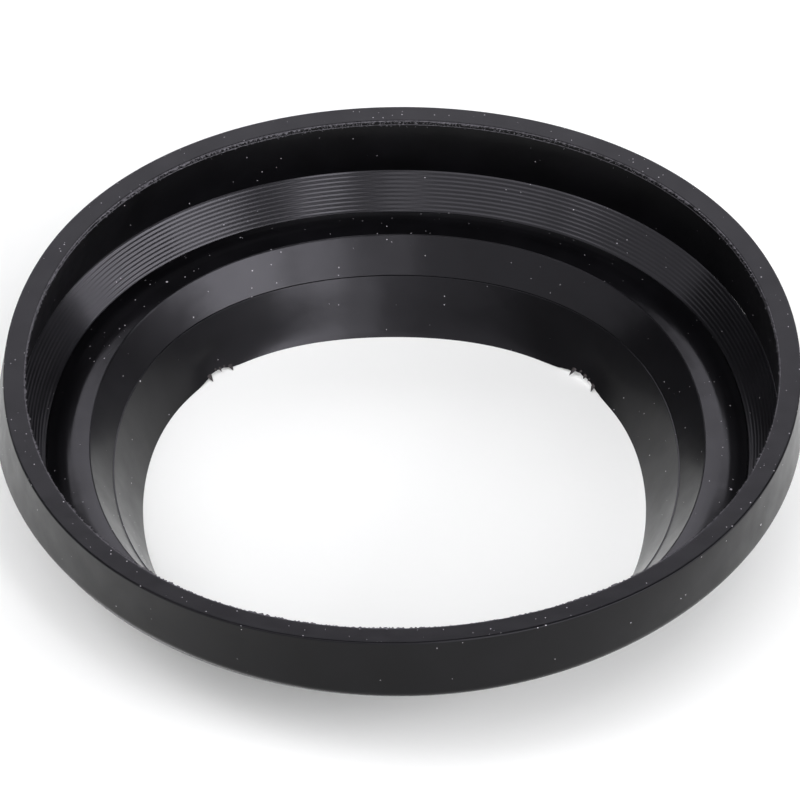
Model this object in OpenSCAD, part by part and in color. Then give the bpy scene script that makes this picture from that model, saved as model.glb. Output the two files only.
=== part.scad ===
// Collapsible rubber lens hood with a screw-in mounting ring.
// Millimetres. +Z is the optical axis towards the subject; z = 0 is the plane
// that the rear lip stands on, and the axis of every part is the Z axis.

/* [Overall] */
// Outer radius of the front rim
rim_r = 48.5; // [47.5:0.5:50]
// Depth of the extended hood, from the front rim to the rear lip
depth = 22.8; // [22.4:0.1:24]

/* [Front barrel] */
// Width of the flat front rim
rim_w = 2.6; // [2:0.1:3]
// Radius of the small rounding on the rim's two edges
rim_round = 0.35; // [0.2:0.05:0.6]
// Height of the outer wall
wall_h = 7.4; // [7:0.1:7.8]
// How far the outer wall leans outwards over its height
wall_flare = 0.3; // [0:0.1:0.6]
// Radius of the rounding at the foot of the outer wall
foot_round = 0.7; // [0.4:0.1:0.9]

/* [Ribbed web] */
// Radius of the web's outer, upper edge
web_outer_r = 46.7; // [46.4:0.1:46.9]
// Height of that edge above the rear lip
web_outer_z = 14.1; // [13.9:0.1:14.3]
// Radius of the web's inner, lower edge, where it folds
web_inner_r = 43.3; // [43:0.1:43.6]
// Height of the fold above the rear lip
web_inner_z = 10.2; // [10:0.1:10.3]
// Thickness of the web at its outer edge
web_t_outer = 0.9; // [0.7:0.1:1.1]
// Thickness of the web at the fold, which is its living hinge
web_t_inner = 0.5; // [0.4:0.05:0.6]
// Number of fine light-trapping ribs on the web
rib_count = 10; // [6:1:12]
// Height of one rib
rib_h = 0.16; // [0.1:0.02:0.24]
// Share of the rib spacing that is valley
rib_valley = 0.3; // [0.2:0.05:0.4]
// Share of the rib spacing that is flat crest
rib_crest = 0.3; // [0.2:0.05:0.4]

/* [Shelf and inner cone] */
// Radius of the ridge between the shelf and the inner cone
ridge_r = 37.9; // [37.7:0.1:38.1]
// Height of the ridge above the rear lip
ridge_z = 11.0; // [10.8:0.1:11.2]
// Thickness of the shelf at the ridge
shelf_t = 2.2; // [2:0.1:2.4]
// How far in from the fold the shelf reaches its full thickness
shelf_taper = 1.8; // [1.5:0.1:2.2]
// How far out from the ridge the shelf's underside meets the inner cone
shelf_root = 1; // [0.8:0.1:1.2]
// Radius of the moulded line between the inner cone and the collar
line_r = 35.1; // [35:0.05:35.2]
// Height of that line above the rear lip
line_z = 6.8; // [6.75:0.05:6.9]

/* [Mount collar] */
// Clear radius of the rear lip
lip_r = 31.4; // [31.2:0.1:31.6]
// Width of the lip's rear edge, which the hood stands on
lip_w = 0.8; // [0.6:0.1:0.9]
// Outer radius of the collar round the mounting ring
collar_r = 38.4; // [38.3:0.1:38.5]

/* [Mounting ring] */
// Major radius of the male lens thread, which is M72 x 0.75
thread_r = 36; // [35.5:0.25:36]
// Height of the thread's rear end above the rear lip
thread_z = 3.3; // [3.2:0.1:3.4]
// Height of the shoulder that seats on the lens
shoulder_z = 5.0; // [4.9:0.1:5.1]
// Radius of the shoulder
shoulder_r = 36.95; // [36.9:0.05:37]
// Radius of the flange that the collar grips
flange_r = 37.6; // [37.5:0.05:37.65]
// Height of the flange's rear face
flange_z = 5.6; // [5.5:0.1:5.7]
// Height of the flange's front face
flange_top_z = 6.8; // [6.7:0.05:6.85]
// Bore radius at the ring's rear end
bore_rear_r = 34.1; // [34:0.05:34.2]
// Bore radius at the ring's front face
bore_front_r = 36.0; // [35.9:0.05:36.05]

/* [Hidden] */

$fn = 96;
fit_gap = 0.02;                        // between the mounting ring and the rubber round it
arc_steps = 5;                         // straight lengths in one small rounding
thread_chamfer = 0.25;                 // lead-in at the thread's rear end
collar_chamfer = 0.6;                  // bevel at the collar's rear edge
wall_r = rim_r + wall_flare;           // radius at the foot of the outer wall
wall_z = depth - wall_h;               // height of that foot
web_top = [web_outer_r, web_outer_z];
web_foot = [web_inner_r, web_inner_z];
web_run = web_outer_r - web_inner_r;
web_rise = web_outer_z - web_inner_z;
web_len = sqrt(web_run * web_run + web_rise * web_rise);
web_along = [web_run / web_len, web_rise / web_len];   // up the web's slope
web_out = [web_along.y, -web_along.x];                 // square to it, to the outside
hinge = web_foot + web_t_inner * web_out;
heel = web_top + web_t_outer * web_out;
shelf_low_z = ridge_z - shelf_t;
shelf_thin_r = web_inner_r - shelf_taper;
shelf_thin_z = shelf_low_z + 0.2;      // the underside rises slightly outwards
shelf_root_r = ridge_r + shelf_root;
cover_z = 8.2;                         // top of the collar's outer wall
foot_end = -60;                        // angle at which the foot's rounding meets the heel

rubber = [0.09, 0.09, 0.1];
anodised = [0.05, 0.05, 0.055];

// Points of a rounding about a centre, between two angles
function rounding(centre, radius, from, to) =
    [for (i = [0:arc_steps]) let (a = from + (to - from) * i / arc_steps)
        centre + radius * [cos(a), sin(a)]];

// Points of the ribs: one small crest and one valley for each
function rib_points() =
    let (pitch = web_len / rib_count, foot = rib_valley / 2, crest = (1 - rib_crest) / 2)
    [for (i = [0:rib_count - 1]) each [
        web_top - (i + foot) * pitch * web_along,
        web_top - (i + crest) * pitch * web_along - rib_h * web_out,
        web_top - (i + 1 - crest) * pitch * web_along - rib_h * web_out,
        web_top - (i + 1 - foot) * pitch * web_along]];

module ring_of(points) {
    rotate_extrude() polygon(points);
}

// Stiff outer ring: flat front rim, outer wall, and the foot that the web starts from
module front_barrel() {
    color(rubber) ring_of(concat(
        [web_top],
        rounding([rim_r - rim_w + rim_round, depth - rim_round], rim_round, 180, 90),
        rounding([rim_r - rim_round, depth - rim_round], rim_round, 90, 0),
        rounding([wall_r - foot_round, wall_z], foot_round, 0, foot_end),
        [heel]));
}

// Thin ribbed cone that turns inside out when the front barrel is pushed back
module ribbed_web() {
    color(rubber) ring_of(concat(
        [hinge, heel, web_top],
        rib_points(),
        [web_foot]));
}

// Flat step between the fold and the ridge
module step_shelf() {
    color(rubber) ring_of([
        [ridge_r, ridge_z],
        web_foot,
        hinge,
        [shelf_thin_r, shelf_thin_z],
        [shelf_root_r, shelf_low_z]]);
}

// Cone between the ridge and the moulded line
module inner_cone() {
    color(rubber) ring_of([
        [ridge_r, ridge_z],
        [shelf_root_r, shelf_low_z],
        [collar_r, cover_z],
        [line_r, line_z]]);
}

// Rear section: lines the mounting ring's bore, wraps its flange, and ends in the thin lip
module mount_collar() {
    color(rubber) ring_of([
        [lip_r, 0],
        [line_r, line_z],
        [collar_r, cover_z],
        [collar_r, shoulder_z + collar_chamfer],
        [collar_r - collar_chamfer, shoulder_z],
        [shoulder_r + fit_gap, shoulder_z],
        [shoulder_r + fit_gap, flange_z - fit_gap],
        [flange_r + fit_gap, flange_z - fit_gap],
        [flange_r + fit_gap, flange_top_z + fit_gap],
        [bore_front_r - fit_gap, flange_top_z + fit_gap],
        [bore_rear_r - fit_gap, thread_z],
        [lip_r + lip_w, 0]]);
}

// Aluminium ring with the male lens thread, a shoulder and the gripped flange
module mounting_ring() {
    color(anodised) ring_of([
        [bore_rear_r, thread_z],
        [bore_front_r, flange_top_z],
        [flange_r, flange_top_z],
        [flange_r, flange_z],
        [shoulder_r, flange_z],
        [shoulder_r, shoulder_z],
        [thread_r, shoulder_z],
        [thread_r, thread_z + thread_chamfer],
        [thread_r - thread_chamfer, thread_z]]);
}

front_barrel();
ribbed_web();
step_shelf();
inner_cone();
mount_collar();
mounting_ring();
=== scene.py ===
import math
import random

import bpy
import numpy as np
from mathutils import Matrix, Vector


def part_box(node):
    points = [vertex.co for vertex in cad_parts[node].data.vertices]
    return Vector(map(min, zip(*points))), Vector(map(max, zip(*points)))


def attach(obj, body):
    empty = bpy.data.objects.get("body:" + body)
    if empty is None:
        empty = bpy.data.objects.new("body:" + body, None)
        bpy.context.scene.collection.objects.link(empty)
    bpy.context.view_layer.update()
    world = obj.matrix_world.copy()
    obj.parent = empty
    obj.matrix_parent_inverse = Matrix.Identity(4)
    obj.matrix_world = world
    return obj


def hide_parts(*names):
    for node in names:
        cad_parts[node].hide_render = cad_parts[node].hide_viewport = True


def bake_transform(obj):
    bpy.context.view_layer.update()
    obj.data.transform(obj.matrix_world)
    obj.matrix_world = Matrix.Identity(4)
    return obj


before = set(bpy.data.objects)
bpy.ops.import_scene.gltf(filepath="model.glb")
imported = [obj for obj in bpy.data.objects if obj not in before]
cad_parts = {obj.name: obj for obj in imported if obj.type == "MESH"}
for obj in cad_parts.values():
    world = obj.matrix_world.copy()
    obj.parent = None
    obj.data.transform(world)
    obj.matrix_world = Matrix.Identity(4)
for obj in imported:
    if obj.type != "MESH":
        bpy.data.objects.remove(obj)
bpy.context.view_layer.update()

# ---------------------------------------------------------------- sizes, in millimetres
MM = 0.001
SEGMENTS = 720              # steps round the axis in a full turn
FINE_SEGMENTS = 2400        # steps round the axis where an edge is torn

barrel_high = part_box("front_barrel")[1]
web_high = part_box("ribbed_web")[1]
shelf_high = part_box("step_shelf")[1]
collar_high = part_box("mount_collar")[1]
ring_low, ring_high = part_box("mounting_ring")

DEPTH = barrel_high.z / MM              # front rim above the rear lip
WALL_R = barrel_high.y / MM             # foot of the outer wall
RIM_R = WALL_R - 0.3                    # outer edge of the front rim
RIM_W = 2.6                             # width of the rim's flat face
WALL_H = 7.4                            # height of the outer wall
WEB_OUT = (46.7, web_high.z / MM)       # outer, upper edge of the ribbed web
FOLD = (43.3, 10.2)                     # inner, lower edge of the web, where it folds
HINGE_T = 0.5                           # web thickness at the fold
HEEL_T = 0.9                            # web thickness at its outer edge
RIBS = 10
RIB_H = 0.02
RIDGE = (37.9, shelf_high.z / MM)       # ridge between shelf and inner cone
SHELF_ROOT = (RIDGE[0] + 1, RIDGE[1] - 2.2)         # where the shelf's underside meets the inner cone
SHELF_THIN = (FOLD[0] - 1.8, RIDGE[1] - 2.0)        # where the shelf begins to thin towards the fold
LINE = (35.1, 6.8)                      # moulded line between inner cone and collar
LEDGE = 0.14                            # how far the collar stands in at that line
LIP_R = 31.4                            # clear radius of the rear lip
LIP_W = 0.8                             # width of the rear lip
COLLAR_R = collar_high.y / MM           # outside of the collar
COVER_Z = 8.2                           # top of the collar's outer wall
BEVEL = 0.6                             # bevel at the collar's rear edge

# The mounting ring inside the collar.
THREAD_R = 36.0
THREAD_PITCH = 0.75
THREAD_DEPTH = 0.42
THREAD_END_Z = ring_low.z / MM
THREAD_FULL_Z = 3.5                     # from here up the thread has its full radius
THREAD_STEPS = 30
SHOULDER_R = 36.95
SHOULDER_Z = 5.0
FLANGE_R = ring_high.x / MM
FLANGE_Z = 5.6
FLANGE_TOP_Z = ring_high.z / MM
BORE_REAR_R = 34.1
BORE_FRONT_R = 36.0
FIT_GAP = 0.02                          # between the ring and the rubber round it

# The rubber has taken a slight set: it is a little square, and its front leans to one side.
# These are shares of the radius; a depth below the rim is measured in rim radii.
SET_RIM = 0.0074                        # squareness at the rim
SET_GROWTH = 0.07                       # how it grows with the square of the depth
SET_FOOT = 0.0042                       # the opposite squareness at the foot of the outer wall
OVAL = 0.006
THREE_SIDED = 0.0035
OVAL_DEPTH = 0.17                       # depth at which the two above have died away
LEAN = 0.035
LEAN_REST = (DEPTH - SHOULDER_Z) / RIM_R            # depth that the lean turns about


# ---------------------------------------------------------------- shapes
def placed(r, z, q, phi):
    """Place of a section's point: radius r and height z in millimetres, share q of the rubber's set."""
    deep = (DEPTH - z) / RIM_R
    near_rim = np.clip(1 - deep / OVAL_DEPTH, 0, 1)
    square = -(SET_RIM + SET_GROWTH * deep * deep) * q
    oval = OVAL * near_rim * np.sin(2 * phi) + THREE_SIDED * near_rim * np.cos(3 * phi)
    rho = r * (1 + square * np.cos(4 * phi) + oval * np.abs(q))
    lean = LEAN * (LEAN_REST - deep) * RIM_R * np.minimum(np.abs(q) * 3, 1)
    return np.stack([rho * np.cos(phi) + lean, rho * np.sin(phi), z + 0 * phi], -1) * MM


def soften(outline, steps=5):
    """Rounds the corners of a closed outline. A corner is (r, z, q, reach), reach 0 if sharp."""
    lead = 0.06
    made = []
    count = len(outline)
    for i, corner in enumerate(outline):
        here, reach = np.array(corner[:3], float), corner[3]
        if reach == 0:
            made.append(here)
            continue
        before = np.array(outline[i - 1][:3], float) - here
        after = np.array(outline[(i + 1) % count][:3], float) - here
        before /= np.linalg.norm(before[:2])
        after /= np.linalg.norm(after[:2])
        made.append(here + before * (reach + lead))
        for k in range(steps + 1):
            t = k / steps
            made.append(here + before * reach * (1 - t) ** 2 + after * reach * t ** 2)
        made.append(here + after * (reach + lead))
    return np.array(made)


def divided(points, step):
    """The same outline with long runs cut into steps, so that a change of surface has points to move."""
    made = []
    for i, here in enumerate(points):
        after = points[(i + 1) % len(points)]
        parts = max(1, round(float(np.linalg.norm(after[:2] - here[:2])) / step))
        made += [here + (after - here) * k / parts for k in range(parts)]
    return np.array(made)


def lathe(name, points, segments=SEGMENTS, change=None):
    """A closed ring from section points (r, z, q), anticlockwise when r is to the right and z is up."""
    phi = np.arange(segments) * (2 * math.pi / segments)
    r, z, q = (np.repeat(points[:, i:i + 1], segments, 1) for i in range(3))
    p = np.repeat(phi[None, :], len(points), 0)
    if change:
        r, z = change(r, z, p)
    co = placed(r, z, q, p).reshape(-1, 3)
    n = len(points)
    i, j = np.meshgrid(np.arange(n), np.arange(segments), indexing="ij")
    i2, j2 = (i + 1) % n, (j + 1) % segments
    quads = np.stack([i * segments + j, i * segments + j2, i2 * segments + j2, i2 * segments + j], -1)
    mesh = bpy.data.meshes.new(name)
    mesh.from_pydata(co.tolist(), [], quads.reshape(-1, 4).tolist())
    mesh.polygons.foreach_set("use_smooth", [True] * len(mesh.polygons))
    piece = bpy.data.objects.new(name, mesh)
    bpy.context.scene.collection.objects.link(piece)
    return piece


def swell(amount, seed):
    """A slow unevenness round the ring, as moulded rubber has."""
    rng = random.Random(seed)
    waves = [(n, rng.uniform(0.3, 1) / n, rng.uniform(0, 2 * math.pi)) for n in range(3, 19)]

    def change(r, z, phi):
        push = sum(a * np.sin(n * phi + s + 0.25 * z) for n, a, s in waves)
        return r + amount * push, z
    return change


def slope_out(low, high):
    """Unit vector square to the slope from low up to high, pointing outwards and down."""
    run, rise = high[0] - low[0], high[1] - low[1]
    length = math.hypot(run, rise)
    return rise / length, -run / length


web_side = slope_out(FOLD, WEB_OUT)
HINGE = (FOLD[0] + HINGE_T * web_side[0], FOLD[1] + HINGE_T * web_side[1])
HEEL = (WEB_OUT[0] + HEEL_T * web_side[0], WEB_OUT[1] + HEEL_T * web_side[1])
FOOT_Q = -SET_FOOT / (SET_RIM + SET_GROWTH * (WALL_H / RIM_R) ** 2)


def make_barrel():
    foot = DEPTH - WALL_H
    stand_out = 0.22
    outline = [
        (RIM_R, DEPTH, 1, 0.22),
        (RIM_R - RIM_W, DEPTH, 1, 0.18),
        (*WEB_OUT, 1, 0.1),
        (*HEEL, 0, 0),
        (WALL_R, foot - 0.35, FOOT_Q, 0.5),
    ]

    def spread(r, z, phi):
        """The far side of the rim's outer edge stands slightly further out."""
        r, _ = swell(0.012, 3)(r, z, phi)
        outer_edge = (r > RIM_R - 0.6) & (z > DEPTH - 1)
        return r + stand_out * np.clip(2 * np.sin(phi), 0, 1) * outer_edge, z
    return lathe("front_barrel_rubber", soften(outline), change=spread)


def make_web():
    steps = 14 * RIBS
    under_steps = 12
    ribs = []
    for k in range(1, steps):
        s = k / steps
        crest = RIB_H * math.sin(math.pi * RIBS * s) ** 2
        ribs.append((WEB_OUT[0] + (FOLD[0] - WEB_OUT[0]) * s - crest * web_side[0],
                     WEB_OUT[1] + (FOLD[1] - WEB_OUT[1]) * s - crest * web_side[1], 1))
    under = [(HINGE[0] + (HEEL[0] - HINGE[0]) * t, HINGE[1] + (HEEL[1] - HINGE[1]) * t, 1 - t)
             for t in (i / under_steps for i in range(under_steps + 1))]
    points = np.array([(*WEB_OUT, 1)] + ribs + [(*FOLD, 1)] + under)
    return lathe("ribbed_web_rubber", points, change=swell(0.02, 5))


# The shelf's top is gently crowned: distance out from the ridge, height over the ridge.
CROWN = ((5.0, -0.64), (4.0, -0.24), (3.0, 0.0), (2.0, 0.12), (1.0, 0.09))


def make_shelf():
    outline = [
        (*RIDGE, 1, 0.14),
        (*SHELF_ROOT, 0.5, 0),
        (*SHELF_THIN, 0.7, 0.4),
        (*HINGE, 1, 0),
        (*FOLD, 1, 0.1),
    ] + [(RIDGE[0] + out, RIDGE[1] + up, 1, 0.35) for out, up in CROWN]
    return lathe("step_shelf_rubber", soften(outline), change=swell(0.012, 7))


def make_cone():
    outline = [
        (*RIDGE, 1, 0.1),
        (*LINE, 1, 0.03),
        (COLLAR_R, COVER_Z, 0, 0),
        (*SHELF_ROOT, 0.5, 0),
    ]
    return lathe("inner_cone_rubber", soften(outline), change=swell(0.012, 9))


# Where vents were torn off the rear lip: azimuth and half width in degrees, depth in millimetres.
BITES = ((44.0, 5.2, 0.9), (133.4, 3.6, 0.72), (-44.0, 5.2, 0.9), (-133.4, 3.6, 0.72))


def apart(degrees, middle):
    """Degrees from the middle, by the nearer way round."""
    return (degrees - middle + 180) % 360 - 180


def bite_depth(phi):
    ragged = 1 + 0.06 * np.sin(97 * phi) + 0.05 * np.sin(211 * phi + 1)
    turn = np.degrees(phi)
    depths = (depth * np.exp(-(apart(turn, azimuth) / width) ** 2) for azimuth, width, depth in BITES)
    return sum(depths) * ragged


def torn_lip(r, z, phi):
    """Draws the rubber back at each torn vent, and leaves a hollow in the surface above it."""
    turn = np.degrees(phi)
    bite = bite_depth(phi) * np.exp(-z / 1.6) * (r < LINE[0] + 0.1)
    inside = r < LIP_R + 0.56 * z + 0.3
    hollow = sum(np.exp(-(apart(turn, azimuth) / (1.5 * width)) ** 2) for azimuth, width, _ in BITES)
    dent = 0.07 * hollow * np.exp(-((z - 2.4) / 1.3) ** 2) * inside
    uneven = (0.13 - 0.34 * np.maximum(np.sin(phi), 0)) * np.exp(-z / 1.2) * inside
    r, _ = swell(0.012, 11)(r, z, phi)
    return r + 0.5 * bite + dent + uneven, z + 0.95 * bite


def make_collar():
    outline = [
        (LIP_R, 0, 1, 0.05),
        (LIP_R + LIP_W, 0, 0.7, 0.25),
        (BORE_REAR_R - FIT_GAP, THREAD_END_Z, 0, 0),
        (BORE_FRONT_R - FIT_GAP, FLANGE_TOP_Z + FIT_GAP, 0, 0),
        (FLANGE_R + FIT_GAP, FLANGE_TOP_Z + FIT_GAP, 0, 0),
        (FLANGE_R + FIT_GAP, FLANGE_Z - FIT_GAP, 0, 0),
        (SHOULDER_R + FIT_GAP, FLANGE_Z - FIT_GAP, 0, 0),
        (SHOULDER_R + FIT_GAP, SHOULDER_Z, 0, 0.08),
        (COLLAR_R - BEVEL, SHOULDER_Z, 0, 0.15),
        (COLLAR_R, SHOULDER_Z + BEVEL, 0, 0.15),
        (COLLAR_R, COVER_Z, 0, 0),
        (*LINE, 1, 0),
        (LINE[0] - LEDGE, LINE[1] - 0.01, 1, 0.03),
    ]
    points = divided(soften(outline), 0.45)
    return lathe("mount_collar_rubber", points, 2 * SEGMENTS, change=torn_lip)


def blade(start, along, across, length, width, thickness, curl, sides=10, rings=9):
    """A tapering torn shred: rings of points that shrink to a tip. Everything in millimetres."""
    up = along.cross(across).normalized()
    verts, faces = [], []
    for k in range(rings):
        t = k / (rings - 1)
        middle = start + along * (length * t) + up * (curl * t * t)
        size = max(0.04, (1 - t) ** 0.8)
        for j in range(sides):
            turn = 2 * math.pi * j / sides
            sideways = across * (0.5 * width * size * math.cos(turn))
            upwards = up * (0.5 * thickness * size * math.sin(turn))
            verts.append((middle + sideways + upwards) * MM)
    for k in range(rings - 1):
        for j in range(sides):
            a, b = k * sides + j, k * sides + (j + 1) % sides
            faces.append((a, b, b + sides, a + sides))
    faces.append(tuple(reversed(range(sides))))
    faces.append(tuple((rings - 1) * sides + j for j in range(sides)))
    return verts, faces


def joined(name, parts):
    """One piece from several closed shapes."""
    verts, faces = [], []
    for part_verts, part_faces in parts:
        first = len(verts)
        verts += part_verts
        faces += [tuple(first + i for i in face) for face in part_faces]
    mesh = bpy.data.meshes.new(name)
    mesh.from_pydata(verts, [], faces)
    mesh.polygons.foreach_set("use_smooth", [True] * len(mesh.polygons))
    piece = bpy.data.objects.new(name, mesh)
    bpy.context.scene.collection.objects.link(piece)
    return piece


# Shreds left at the torn vents: azimuth, how far each points inwards, round and down, its width and curl.
SHREDS = (
    (46.4, 0.92, 0.05, 0.34, 0.80, 0.10),
    (44.6, 0.28, 0.12, 0.06, 0.50, 0.02),
    (43.2, 0.42, -0.08, 0.20, 0.80, 0.05),
    (41.8, 0.26, 0.05, 0.16, 0.50, 0.02),
    (40.2, 0.66, -0.32, 0.50, 0.80, 0.08),
    (135.6, 0.72, 0.02, 0.52, 0.88, 0.10),
    (133.6, 0.26, -0.06, 0.12, 0.50, 0.03),
    (132.4, 0.42, 0.05, 0.28, 0.50, 0.04),
    (131.2, 0.24, 0.00, 0.10, 0.44, 0.02),
    (129.7, 0.70, 0.04, 0.38, 0.82, 0.08),
)


def make_shreds():
    lowest_tip = 0.16
    parts = []
    for azimuth, inwards, round_way, down, width, curl in SHREDS:
        for side in (1, -1):
            phi = math.radians(azimuth * side)
            bite = float(bite_depth(phi))
            edge_r, edge_z = LIP_R + 0.5 * bite, 0.95 * bite
            root = Vector(placed(edge_r + 0.25, edge_z + 0.28, 1, phi)) / MM
            out = Vector((math.cos(phi), math.sin(phi), 0))
            way = Vector((-math.sin(phi), math.cos(phi), 0))
            reach = out * -(inwards + 0.25) + way * (round_way * side) + Vector((0, 0, -(down + 0.12)))
            reach.z = max(reach.z, lowest_tip - root.z)
            across = (way - way.project(reach)).normalized()
            parts.append(blade(root, reach.normalized(), across, reach.length, width, 0.26, curl))
    return joined("lip_torn_shreds", parts)


def jagged(count, seed, reach):
    """A ragged height for each step round the ring, from 0 to 1, with features about reach steps wide."""
    rng = random.Random(seed)
    raw = [rng.random() for _ in range(count)]
    smooth = [sum(raw[(i + k) % count] for k in range(reach)) / reach for i in range(count)]
    low, high = min(smooth), max(smooth)
    return np.array([(value - low) / (high - low) for value in smooth])


def make_flash(name, drop, reach, thickness, rise, seed):
    """A ragged fin of moulding flash on the rim's inner edge, that far below the rim face."""
    fine = jagged(FINE_SEGMENTS, seed, 2)
    broad = jagged(FINE_SEGMENTS, seed + 1, 70)
    height = reach * (0.04 + 0.96 * np.clip(2.2 * fine - 0.75, 0, 1) * (0.1 + 0.9 * broad ** 1.5))
    edge = RIM_R - RIM_W
    root = edge + 0.12
    top = DEPTH - drop
    points = np.array([(root, top - 0.5 * thickness, 1), (root, top + 0.5 * thickness, 1), (edge, top, 1)])

    def tear(r, z, phi):
        tip = r < edge + 0.05
        grown = height[None, :] * (0.75 + 0.25 * np.sin(phi - 0.8))
        return r - grown * tip, z + rise * grown * tip
    return lathe(name, points, FINE_SEGMENTS, change=tear)


def make_whiskers():
    """Short hairs and crumbs of trimmed rubber along the rim's inner edge, thickest at the far left."""
    count = 1300
    thickest = 112
    rng = random.Random(57)
    parts = []
    while len(parts) < count:
        azimuth = rng.uniform(0, 360)
        crowd = 0.16 + 0.84 * math.exp(-(apart(azimuth, thickest) / 45) ** 2)
        if rng.random() > crowd:
            continue
        phi = math.radians(azimuth)
        drop = abs(rng.gauss(0, 0.32))
        root = Vector(placed(RIM_R - RIM_W + 0.04, DEPTH - 0.05 - drop, 1, phi)) / MM
        inward = Vector((-math.cos(phi), -math.sin(phi), 0))
        way = Vector((-math.sin(phi), math.cos(phi), 0))
        reach = inward * rng.uniform(0.08, 0.32) + way * rng.gauss(0, 0.12)
        reach.z += rng.gauss(-0.04, 0.08)
        if root.z + reach.z > DEPTH - 0.01:
            reach.z = DEPTH - 0.01 - root.z
        size = rng.uniform(0.05, 0.13)
        across = reach.cross(way).normalized()
        parts.append(blade(root, reach.normalized(), across, reach.length, size, size, 0, sides=5, rings=3))
    return joined("rim_edge_whiskers", parts)


# Azimuths of the nicks on the rim's outer edge.
NICKS = (126, 148, 163, 171, 176, 184, 191, 66, 14, 352, 205, 247, 290)


def make_nicks():
    """Short pale whiskers at the rim's outer edge, left by trimming."""
    rng = random.Random(21)
    parts = []
    for azimuth in NICKS:
        phi = math.radians(azimuth + rng.uniform(-1, 1))
        root = Vector(placed(RIM_R - 0.12, DEPTH - 0.1, 1, phi)) / MM
        out = Vector((math.cos(phi), math.sin(phi), 0))
        way = Vector((-math.sin(phi), math.cos(phi), 0))
        reach = out * rng.uniform(0.15, 0.3) + way * rng.uniform(-0.25, 0.25)
        reach.z += rng.uniform(-0.1, 0.2)
        across = reach.cross(out).normalized()
        parts.append(blade(root, reach.normalized(), across, reach.length, 0.12, 0.09, 0.05))
    return joined("rim_edge_nicks", parts)


def make_ring():
    full = SHOULDER_Z - 0.12 - THREAD_FULL_Z
    thread = [(THREAD_R, THREAD_FULL_Z + full * k / THREAD_STEPS, 0) for k in range(THREAD_STEPS + 1)]
    outline = [
        (BORE_REAR_R, THREAD_END_Z, 0),
        (THREAD_R - 0.3, THREAD_END_Z, 0),
        *thread,
        (THREAD_R - 0.2, SHOULDER_Z, 0),
        (SHOULDER_R, SHOULDER_Z, 0),
        (SHOULDER_R, FLANGE_Z, 0),
        (FLANGE_R, FLANGE_Z, 0),
        (FLANGE_R, FLANGE_TOP_Z, 0),
        (BORE_FRONT_R, FLANGE_TOP_Z, 0),
    ]

    def cut(r, z, phi):
        """Cuts one helical groove into the thread's crest."""
        turn = (z - THREAD_FULL_Z) / THREAD_PITCH + phi / (2 * math.pi)
        vee = np.abs(2 * (turn - np.floor(turn)) - 1)
        on_thread = np.abs(r - THREAD_R) < 1e-6
        return r - THREAD_DEPTH * (1 - vee) * on_thread, z
    return lathe("mounting_ring_threaded", np.array(outline), change=cut)


# ---------------------------------------------------------------- materials
class Nodes:
    """Short calls for building one material's node tree."""

    def __init__(self, name):
        self.material = bpy.data.materials.new(name)
        self.material.use_nodes = True
        self.tree = self.material.node_tree
        self.tree.nodes.clear()
        self.out = self.add("ShaderNodeOutputMaterial")
        self.shader = self.add("ShaderNodeBsdfPrincipled")
        self.link(self.shader.outputs[0], self.out.inputs[0])
        self.place = self.add("ShaderNodeTexCoord").outputs["Object"]

    def add(self, kind):
        return self.tree.nodes.new(kind)

    def link(self, a, b):
        self.tree.links.new(a, b)

    def noise(self, size, detail):
        """Noise whose features are about size millimetres across."""
        n = self.add("ShaderNodeTexNoise")
        n.inputs["Scale"].default_value = 1 / (size * MM)
        n.inputs["Detail"].default_value = detail
        self.link(self.place, n.inputs["Vector"])
        return n.outputs["Fac"]

    def ramp(self, value, low, high, to_low=0.0, to_high=1.0):
        n = self.add("ShaderNodeMapRange")
        n.inputs["From Min"].default_value = low
        n.inputs["From Max"].default_value = high
        n.inputs["To Min"].default_value = to_low
        n.inputs["To Max"].default_value = to_high
        self.link(value, n.inputs["Value"])
        return n.outputs["Result"]

    def math(self, operation, a, b):
        n = self.add("ShaderNodeMath")
        n.operation = operation
        for socket, value in zip(n.inputs, (a, b)):
            if isinstance(value, (int, float)):
                socket.default_value = value
            else:
                self.link(value, socket)
        return n.outputs[0]

    def mix(self, share, a, b):
        n = self.add("ShaderNodeMix")
        n.data_type = "RGBA"
        self.link(share, n.inputs["Factor"])
        for socket, value in ((n.inputs["A"], a), (n.inputs["B"], b)):
            if isinstance(value, tuple):
                socket.default_value = (*value, 1)
            else:
                self.link(value, socket)
        return n.outputs["Result"]

    def level(self, steep, flat):
        """Goes from steep on upright faces to flat on faces that look up."""
        normal = self.add("ShaderNodeSeparateXYZ")
        self.link(self.add("ShaderNodeNewGeometry").outputs["Normal"], normal.inputs[0])
        return self.ramp(normal.outputs[2], 0.3, 0.95, steep, flat)

    def specks(self, spacing, size, share):
        """Sparse round specks: about one in each cell of that spacing, kept in that share of the cells."""
        n = self.add("ShaderNodeTexVoronoi")
        n.inputs["Scale"].default_value = 1 / (spacing * MM)
        self.link(self.place, n.inputs["Vector"])
        split = self.add("ShaderNodeSeparateColor")
        self.link(n.outputs["Color"], split.inputs[0])
        kept = self.math("LESS_THAN", split.outputs[0], share)
        radius = self.math("MULTIPLY", split.outputs[1], size / spacing)
        inside = self.math("LESS_THAN", n.outputs["Distance"], radius)
        return self.math("MULTIPLY", kept, inside)

    def bump(self, height, distance, under=None):
        """A relief of that many millimetres, laid over the relief under it."""
        n = self.add("ShaderNodeBump")
        n.inputs["Strength"].default_value = 1.0
        n.inputs["Distance"].default_value = distance * MM
        self.link(height, n.inputs["Height"])
        if under is not None:
            self.link(under, n.inputs["Normal"])
        return n.outputs["Normal"]


RUBBER_TONES = ((0.002, 0.00195, 0.0023), (0.004, 0.0039, 0.0046))
DUST = (0.40, 0.39, 0.39)


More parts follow.
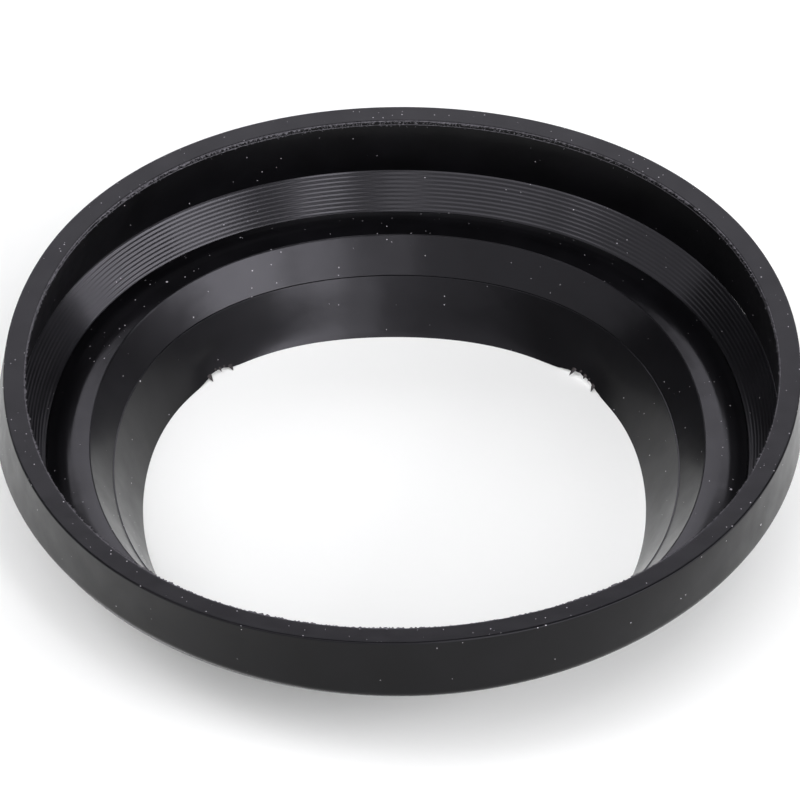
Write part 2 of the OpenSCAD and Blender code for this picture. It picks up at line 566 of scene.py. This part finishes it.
def rubber(name, roughness, dust, gloss, polish):
    """Moulded black rubber, with haze, fine grain and settled dust. Gloss is the skin's index of
    refraction, and polish is the share of its full strength that the rubber shows."""
    m = Nodes(name)
    s = m.shader
    blotch = m.noise(7, 4)
    darker, lighter = (tuple(polish * c for c in tone) for tone in RUBBER_TONES)
    base = m.mix(m.ramp(blotch, 0.35, 0.65), darker, lighter)
    fine = m.specks(0.6, 0.085, m.level(0.25 * dust, 1.7 * dust))
    coarse = m.specks(1.5, 0.15, m.level(0.05 * dust, 0.45 * dust))
    flecks = m.math("MAXIMUM", fine, coarse)
    m.link(m.mix(flecks, base, DUST), s.inputs["Base Color"])
    rough = m.ramp(m.noise(4, 5), 0.3, 0.7, roughness - 0.05, roughness + 0.07)
    m.link(m.math("MAXIMUM", rough, m.math("MULTIPLY", flecks, 0.9)), s.inputs["Roughness"])
    waves = m.bump(m.noise(5, 2), 0.03)
    skin = m.bump(m.noise(0.3, 3), 0.0035, under=waves)
    m.link(m.bump(flecks, 0.05, under=skin), s.inputs["Normal"])
    m.link(skin, s.inputs["Coat Normal"])
    s.inputs["Coat Weight"].default_value = polish
    s.inputs["Coat Roughness"].default_value = 0.17
    s.inputs["Specular IOR Level"].default_value = 0.15 * polish
    s.inputs["Coat IOR"].default_value = gloss
    return m.material


def torn_rubber(name, tone):
    """Rubber gone pale and rough where it was stretched and torn."""
    m = Nodes(name)
    s = m.shader
    darker = tuple(0.5 * c for c in tone)
    m.link(m.mix(m.ramp(m.noise(0.3, 3), 0.4, 0.6), darker, tone), s.inputs["Base Color"])
    m.link(m.ramp(m.noise(0.4, 3), 0.3, 0.7, 0.45, 0.7), s.inputs["Roughness"])
    m.link(m.bump(m.noise(0.1, 2), 0.01), s.inputs["Normal"])
    return m.material


def anodised():
    m = Nodes("black_anodised_aluminium")
    s = m.shader
    m.link(m.mix(m.noise(3, 3), (0.018, 0.018, 0.02), (0.03, 0.03, 0.033)), s.inputs["Base Color"])
    m.link(m.ramp(m.noise(0.5, 4), 0.3, 0.7, 0.3, 0.42), s.inputs["Roughness"])
    m.link(m.bump(m.noise(0.15, 2), 0.003), s.inputs["Normal"])
    s.inputs["Metallic"].default_value = 0.6
    return m.material


def paper():
    m = Nodes("pale_paper")
    s = m.shader
    m.link(m.mix(m.noise(30, 3), (0.90, 0.925, 0.83), (0.92, 0.945, 0.85)), s.inputs["Base Color"])
    m.link(m.bump(m.noise(1.5, 3), 0.02), s.inputs["Normal"])
    s.inputs["Roughness"].default_value = 0.9
    return m.material


# ---------------------------------------------------------------- the hood
barrel = make_barrel()
web = make_web()
shelf = make_shelf()
cone = make_cone()
collar = make_collar()
ring = make_ring()
shreds = make_shreds()
whiskers = make_whiskers()
flash_low = make_flash("rim_flash_lower", 0.66, 0.16, 0.10, 0.1, 31)
flash_high = make_flash("rim_flash_upper", 0.06, 0.62, 0.10, 0.0, 41)
nicks = make_nicks()

dusty = rubber("rubber_dusty", 0.42, 0.28, 1.28, 0.5)
smooth = rubber("rubber_smooth", 0.40, 0.17, 1.33, 0.65)
ribbed = rubber("rubber_ribbed", 0.42, 0.10, 1.34, 0.8)
ring.data.materials.append(anodised())
flash_rubber = torn_rubber("rubber_flash", (0.07, 0.068, 0.07))
rubber_pieces = (
    (shreds, torn_rubber("rubber_torn", (0.03, 0.024, 0.02))),
    (flash_low, flash_rubber),
    (flash_high, flash_rubber),
    (whiskers, torn_rubber("rubber_whiskers", (0.12, 0.118, 0.12))),
    (nicks, torn_rubber("rubber_nicked", (0.6, 0.6, 0.6))),
    (barrel, dusty),
    (web, ribbed),
    (shelf, smooth),
    (cone, smooth),
    (collar, smooth),
)
for piece, material in rubber_pieces:
    piece.data.materials.append(material)

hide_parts("front_barrel")
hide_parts("ribbed_web")
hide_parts("step_shelf")
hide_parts("inner_cone")
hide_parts("mount_collar")
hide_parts("mounting_ring")
for piece in (barrel, flash_low, flash_high, whiskers, nicks):
    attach(piece, "front")
for piece in (shelf, cone, collar, ring, shreds):
    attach(piece, "mount")
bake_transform(web)

# ---------------------------------------------------------------- floor, light and camera
bpy.ops.mesh.primitive_plane_add(size=8, location=(0, 0, 0))
floor = bpy.context.object
floor.name = "floor"
floor.data.materials.append(paper())

LIGHT_AWAY = 2.2            # distance of every softbox, in metres
LIGHT_COLOUR = (1.0, 0.975, 1.09)

# Softboxes: the range of azimuth and of elevation in degrees that each fills, seen from the hood, and its
# radiance. Azimuth 0 is the viewer's side and 90 is +X.
SOFTBOXES = (
    ("front_low", (-5, 14), (2, 14), 2.0),
    ("front_middle", (-5, 4.5), (14, 28), 1.2),
    ("front_high", (-5, 4.5), (28, 45), 3.8),
    ("key_low", (14, 38), (2, 14), 9.0),
    ("key_low_right", (38, 95), (2, 14), 2.6),
    ("key_edge", (4.5, 14), (14, 28), 4.0),
    ("key_near", (14, 30), (14, 28), 6.9),
    ("key_middle", (30, 105), (14, 28), 8.8),
    ("key_high", (45, 70), (28, 45), 3.2),
    ("key_top", (14, 30), (45, 65), 9.0),
    ("back_panel", (140, 220), (28, 45), 3.6),
    ("back_left", (220, 265), (28, 45), 1.1),
    ("left_fill", (265, 355), (28, 45), 1.0),
    ("left_low", (265, 355), (14, 28), 1.0),
    ("left_high", (265, 310), (45, 65), 4.5),
    ("left_near", (310, 355), (45, 65), 2.9),
    ("overhead", (-60, 60), (66, 88), 2.6),
)


def softbox(name, azimuth, elevation, radiance):
    """A rectangular light that fills those ranges of direction."""
    turn = math.radians(sum(azimuth) / 2)
    rise = math.radians(sum(elevation) / 2)
    toward = Vector((math.sin(turn) * math.cos(rise), -math.cos(turn) * math.cos(rise), math.sin(rise)))
    data = bpy.data.lights.new(name, "AREA")
    data.shape = "RECTANGLE"
    half_wide = math.radians(azimuth[1] - azimuth[0]) / 2
    half_high = math.radians(elevation[1] - elevation[0]) / 2
    data.size = 2 * LIGHT_AWAY * math.tan(half_wide) * math.cos(rise)
    data.size_y = 2 * LIGHT_AWAY * math.tan(half_high)
    data.energy = radiance * math.pi * data.size * data.size_y
    data.color = LIGHT_COLOUR
    light = bpy.data.objects.new(name, data)
    bpy.context.scene.collection.objects.link(light)
    light.location = toward * LIGHT_AWAY + Vector((0, 0, 0.5 * DEPTH * MM))
    light.rotation_mode = "QUATERNION"
    light.rotation_quaternion = toward.to_track_quat("Z", "Y")
    light.visible_camera = False


for name, azimuth, elevation, radiance in SOFTBOXES:
    softbox(name, azimuth, elevation, radiance)

world = bpy.data.worlds.new("room")
world.use_nodes = True
world.node_tree.nodes["Background"].inputs[0].default_value = (0.01, 0.01, 0.011, 1)
bpy.context.scene.world = world

# The camera looks down at the rim from the viewer's side. Its target is given in rim radii.
VIEW_RISE = math.radians(42.42)
VIEW_AWAY = 20
TARGET_X = -0.0025 + LEAN * LEAN_REST
TARGET_Y = -0.1265
LENS = 363.2
SENSOR_WIDTH = 36

view_target = Vector((TARGET_X * RIM_R, TARGET_Y * RIM_R, DEPTH)) * MM
camera_data = bpy.data.cameras.new("camera")
camera_data.lens = LENS
camera_data.sensor_width = SENSOR_WIDTH
camera_data.clip_end = 50
camera = bpy.data.objects.new("camera", camera_data)
bpy.context.scene.collection.objects.link(camera)
view_back = Vector((0, -math.cos(VIEW_RISE), math.sin(VIEW_RISE)))
camera.location = view_target + view_back * (VIEW_AWAY * RIM_R) * MM
camera.rotation_mode = "QUATERNION"
camera.rotation_quaternion = view_back.to_track_quat("Z", "Y")
bpy.context.scene.camera = camera
bpy.context.scene.view_settings.view_transform = "Standard"
